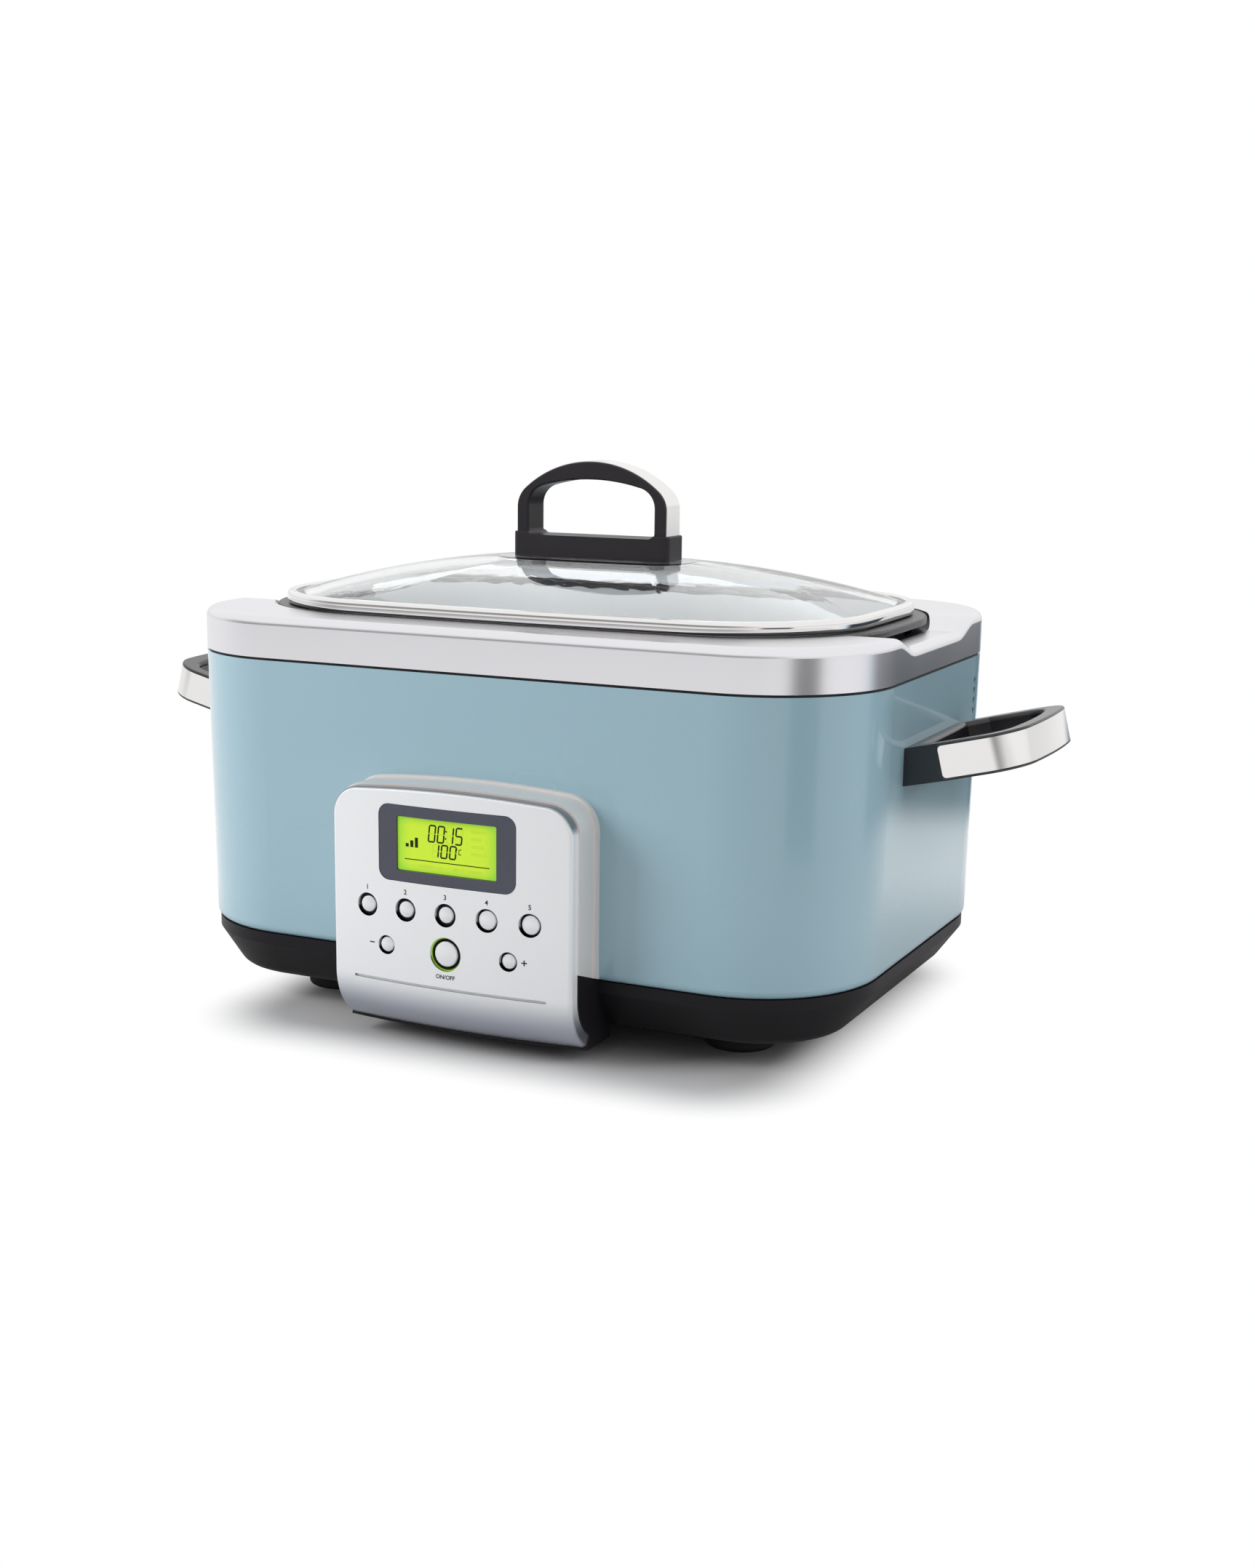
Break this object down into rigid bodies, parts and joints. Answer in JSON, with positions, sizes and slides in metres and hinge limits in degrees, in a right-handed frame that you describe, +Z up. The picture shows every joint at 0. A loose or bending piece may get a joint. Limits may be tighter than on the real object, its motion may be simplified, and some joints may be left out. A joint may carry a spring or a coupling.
{
  "type": "slow cooker",
  "caption": "Rounded rectangular slow cooker with a painted housing, steel rim, lift-out pot, glass lid with a loop handle, side handles and a front control panel.",
  "frame": {"origin": "on the floor under the middle of the overall box", "axes": "+Z up, front panel towards -Y, handles along X"},
  "size_m": [0.5054, 0.3046, 0.2842],
  "materials": {
    "blue_paint": "gloss enamel",
    "black_plastic": "satin",
    "black_rubber": "matte",
    "steel_screws": "plain",
    "satin_steel": "brushed side, polished deck",
    "polished_steel": "mirror",
    "sheet_steel": "mill",
    "cast_aluminium": "as cast",
    "pot_coating": "dark non-stick coating",
    "clear_glass": "clear, faint green tint",
    "clear_silicone": "translucent",
    "silver_face": "silver lacquer",
    "dark_bezel": "gloss",
    "silver_button": "silver lacquer",
    "circuit_board": "solder mask",
    "transformer_tape": "wrapped",
    "white_plastic": "plain",
    "lcd_green": "back-lit display",
    "green_light": "light guide"
  },
  "bodies": {
    "housing": {"base_screws": "steel_screws", "base_tray": "black_plastic", "control_board": "circuit_board", "cord_gland": "black_rubber", "display_bezel": "dark_bezel", "filter_capacitor": "transformer_tape", "handle_band_left": "polished_steel", "handle_band_right": "polished_steel", "handle_screws": "steel_screws", "heat_shield": "sheet_steel", "heating_plate": "cast_aluminium", "heating_well": "sheet_steel", "lcd_module": "lcd_green", "light_ring": "green_light", "outer_shell": "blue_paint", "panel_face": "silver_face", "panel_housing": "black_plastic", "panel_screws": "steel_screws", "panel_surround": "polished_steel", "power_board": "circuit_board", "relay": "black_plastic", "rim_collar": "satin_steel", "rim_seal": "black_rubber", "rubber_feet": "black_rubber", "side_handle_left": "black_plastic", "side_handle_right": "black_plastic", "tact_switches": "black_plastic", "temperature_sensor": "steel_screws", "terminal_block": "white_plastic", "thermal_fuse": "white_plastic", "transformer": "transformer_tape"},
    "pot": {"inner_pot": "pot_coating"},
    "lid": {"lid_glass": "clear_glass", "lid_band": "polished_steel", "lid_handle": "black_plastic", "lid_handle_strap": "polished_steel", "lid_washers": "clear_silicone", "lid_screws": "steel_screws"},
    "button_1": {"button_1": "silver_button"},
    "button_2": {"button_2": "silver_button"},
    "button_3": {"button_3": "silver_button"},
    "button_4": {"button_4": "silver_button"},
    "button_5": {"button_5": "silver_button"},
    "button_minus": {"button_minus": "silver_button"},
    "button_plus": {"button_plus": "silver_button"},
    "button_start": {"button_start": "silver_button"}
  },
  "joints": [
    {"name": "pot_lift", "type": "slide", "parent": "housing", "child": "pot", "axis": [0, 0, 1], "range_m": [0, 0.17]},
    {"name": "lid_lift", "type": "slide", "parent": "pot", "child": "lid", "axis": [0, 0, 1], "range_m": [0, 0.12]},
    {"name": "button_1_press", "type": "slide", "parent": "housing", "child": "button_1", "axis": [0, 1, 0], "range_m": [0, 0.001], "stiffness_N_per_m": 600},
    {"name": "button_2_press", "type": "slide", "parent": "housing", "child": "button_2", "axis": [0, 1, 0], "range_m": [0, 0.001], "stiffness_N_per_m": 600},
    {"name": "button_3_press", "type": "slide", "parent": "housing", "child": "button_3", "axis": [0, 1, 0], "range_m": [0, 0.001], "stiffness_N_per_m": 600},
    {"name": "button_4_press", "type": "slide", "parent": "housing", "child": "button_4", "axis": [0, 1, 0], "range_m": [0, 0.001], "stiffness_N_per_m": 600},
    {"name": "button_5_press", "type": "slide", "parent": "housing", "child": "button_5", "axis": [0, 1, 0], "range_m": [0, 0.001], "stiffness_N_per_m": 600},
    {"name": "button_minus_press", "type": "slide", "parent": "housing", "child": "button_minus", "axis": [0, 1, 0], "range_m": [0, 0.001], "stiffness_N_per_m": 600},
    {"name": "button_plus_press", "type": "slide", "parent": "housing", "child": "button_plus", "axis": [0, 1, 0], "range_m": [0, 0.001], "stiffness_N_per_m": 600},
    {"name": "button_start_press", "type": "slide", "parent": "housing", "child": "button_start", "axis": [0, 1, 0], "range_m": [0, 0.001], "stiffness_N_per_m": 600}
  ]
}
